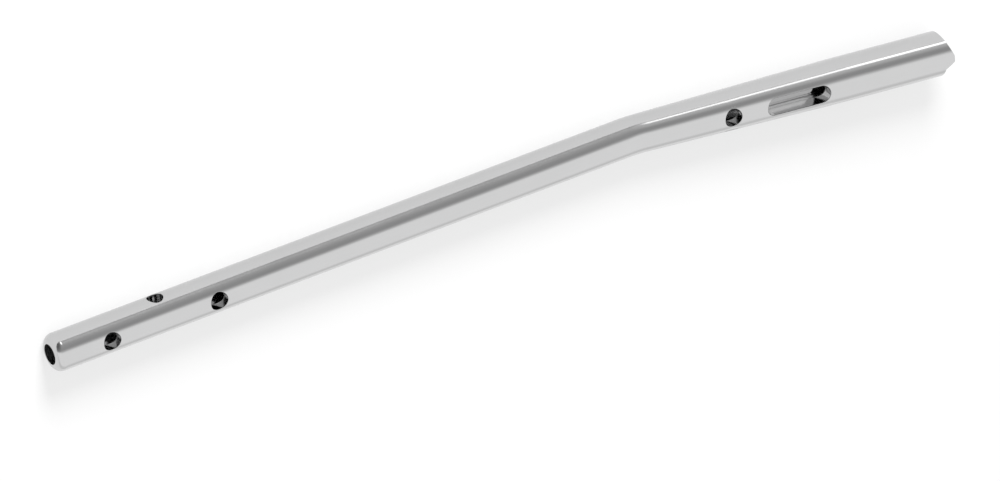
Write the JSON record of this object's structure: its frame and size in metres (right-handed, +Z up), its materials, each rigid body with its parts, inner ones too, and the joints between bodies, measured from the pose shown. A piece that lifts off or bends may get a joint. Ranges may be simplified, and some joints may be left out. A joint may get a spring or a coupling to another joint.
{
  "type": "intramedullary nail",
  "caption": "Cannulated intramedullary nail: slender round bar with a slight bend, a thicker proximal end with a threaded socket, and cross holes and a slot for locking screws.",
  "frame": {"origin": "on the floor that the bar lies on, below the middle of its bounding box", "axes": "+X from the tip to the proximal end, along the proximal axis as seen from above; +Z up, with the bar lying on its side; +Y to the left of +X, the convex side of the bend"},
  "size_m": [0.2854, 0.0308, 0.0132],
  "materials": {
    "nail": "fine satin polish"
  },
  "bodies": {
    "root": {"nail": "nail"}
  },
  "joints": []
}
